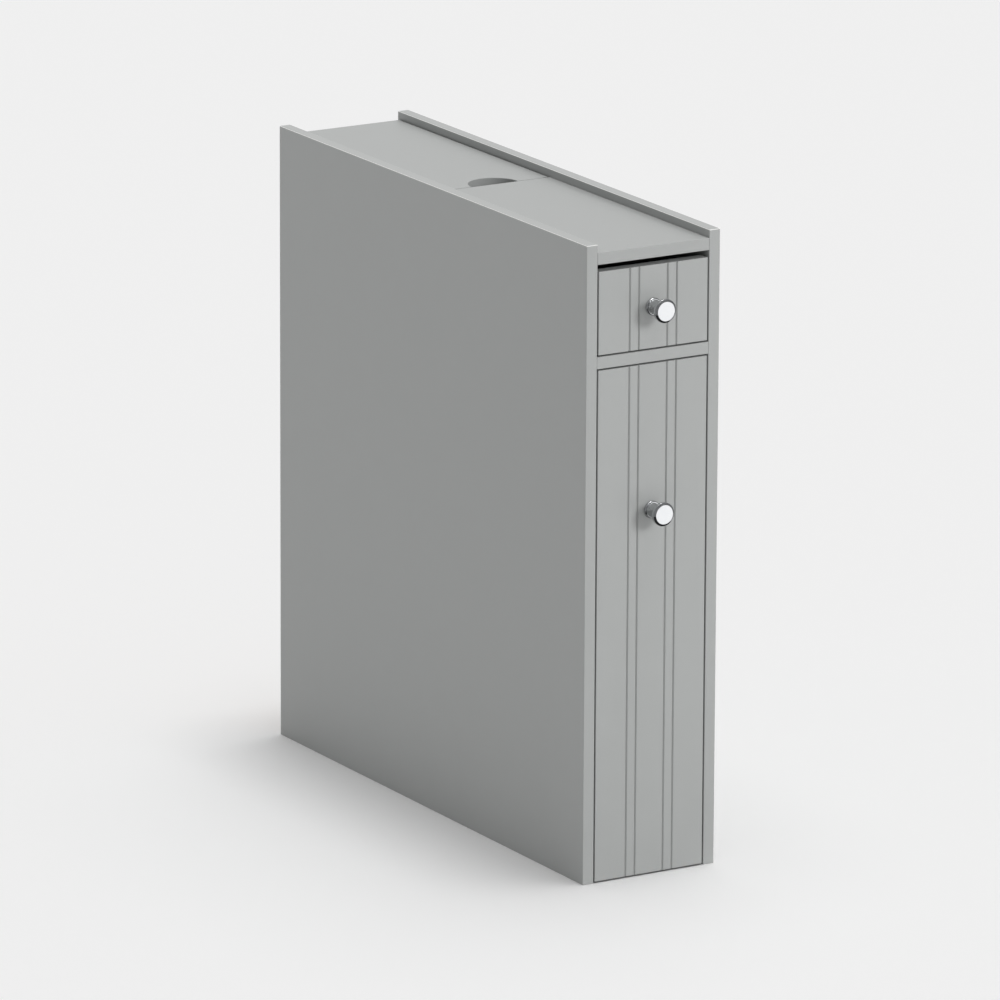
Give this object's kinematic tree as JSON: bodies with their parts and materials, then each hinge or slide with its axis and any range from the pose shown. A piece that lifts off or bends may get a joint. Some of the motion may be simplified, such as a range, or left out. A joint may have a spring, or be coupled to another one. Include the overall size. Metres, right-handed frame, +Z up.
{
  "type": "narrow bathroom cabinet",
  "caption": "Slim free-standing bathroom cabinet in grey board with a knobbed drawer, a notched lift-up lid and a tall pull-out rack on castors.",
  "frame": {"origin": "on the floor, in the middle of the cabinet's outline seen from above, knobs included", "axes": "+Z up, +X to the right seen from the front, -Y towards the user at the front"},
  "size_m": [0.15, 0.624, 0.64],
  "materials": {
    "painted_board": "satin grey paint on fibreboard",
    "thin_board": "grey foil on hardboard",
    "chrome": "polished chrome plate",
    "zinc_steel": "bright zinc plate",
    "cast_zinc": "dull die-cast zinc",
    "nylon": "natural nylon",
    "runner_plastic": "white extruded plastic",
    "castor_plastic": "black moulded plastic",
    "beech": "bare fluted beech",
    "rubber": "soft moulded rubber"
  },
  "bodies": {
    "carcass": {"back_panel": "thin_board", "cam_bolts": "zinc_steel", "cam_discs": "cast_zinc", "divider_shelf": "painted_board", "dowels": "beech", "left_drawer_runner": "runner_plastic", "left_side_panel": "painted_board", "lid_bushes": "nylon", "partition": "painted_board", "rear_bottom_rail": "painted_board", "rear_top_rail": "painted_board", "right_drawer_runner": "runner_plastic", "right_side_panel": "painted_board", "runner_screws": "zinc_steel", "stop_bumpers": "rubber", "top_panel": "painted_board"},
    "lid": {"lid_panel": "painted_board", "lid_pins": "zinc_steel"},
    "drawer": {"drawer_back": "painted_board", "drawer_bottom": "thin_board", "drawer_dowels": "beech", "drawer_front": "painted_board", "drawer_knob": "chrome", "drawer_knob_screw": "zinc_steel", "drawer_screws": "zinc_steel", "left_drawer_side": "painted_board", "right_drawer_side": "painted_board"},
    "rack": {"base_left_guard_rail": "chrome", "base_right_guard_rail": "chrome", "castor_axles": "zinc_steel", "castor_screws": "zinc_steel", "front_left_castor_bracket": "zinc_steel", "front_right_castor_bracket": "zinc_steel", "lower_left_guard_rail": "chrome", "lower_right_guard_rail": "chrome", "rack_base": "painted_board", "rack_cam_bolts": "zinc_steel", "rack_cam_discs": "cast_zinc", "rack_front": "painted_board", "rack_glides": "nylon", "rack_knob": "chrome", "rack_knob_screw": "zinc_steel", "rack_lower_shelf": "painted_board", "rack_screws": "zinc_steel", "rack_upper_shelf": "painted_board", "rack_upright": "painted_board", "rear_left_castor_bracket": "zinc_steel", "rear_right_castor_bracket": "zinc_steel", "upper_left_guard_rail": "chrome", "upper_right_guard_rail": "chrome"},
    "front_left_wheel": {"front_left_wheel": "castor_plastic"},
    "front_right_wheel": {"front_right_wheel": "castor_plastic"},
    "rear_left_wheel": {"rear_left_wheel": "castor_plastic"},
    "rear_right_wheel": {"rear_right_wheel": "castor_plastic"}
  },
  "joints": [
    {"name": "lid_hinge", "type": "hinge", "parent": "carcass", "child": "lid", "pos_m": [0, 0.306, 0.626], "axis": [-1, 0, 0], "range_deg": [0, 95]},
    {"name": "drawer_slide", "type": "slide", "parent": "carcass", "child": "drawer", "axis": [0, -1, 0], "range_m": [0, 0.2]},
    {"name": "rack_slide", "type": "slide", "parent": "carcass", "child": "rack", "axis": [0, -1, 0], "range_m": [0, 0.42]},
    {"name": "front_left_wheel_spin", "type": "hinge", "parent": "rack", "child": "front_left_wheel", "pos_m": [-0.039, -0.234, 0.0125], "axis": [1, 0, 0], "continuous": true},
    {"name": "front_right_wheel_spin", "type": "hinge", "parent": "rack", "child": "front_right_wheel", "pos_m": [0.039, -0.234, 0.0125], "axis": [1, 0, 0], "continuous": true},
    {"name": "rear_left_wheel_spin", "type": "hinge", "parent": "rack", "child": "rear_left_wheel", "pos_m": [-0.039, 0.2317, 0.0125], "axis": [1, 0, 0], "continuous": true},
    {"name": "rear_right_wheel_spin", "type": "hinge", "parent": "rack", "child": "rear_right_wheel", "pos_m": [0.039, 0.2317, 0.0125], "axis": [1, 0, 0], "continuous": true}
  ],
  "couplings": [
    {"joint": "front_left_wheel_spin", "follows": "rack_slide", "rad_per_m": 80},
    {"joint": "front_right_wheel_spin", "follows": "rack_slide", "rad_per_m": 80},
    {"joint": "rear_left_wheel_spin", "follows": "rack_slide", "rad_per_m": 80},
    {"joint": "rear_right_wheel_spin", "follows": "rack_slide", "rad_per_m": 80}
  ]
}
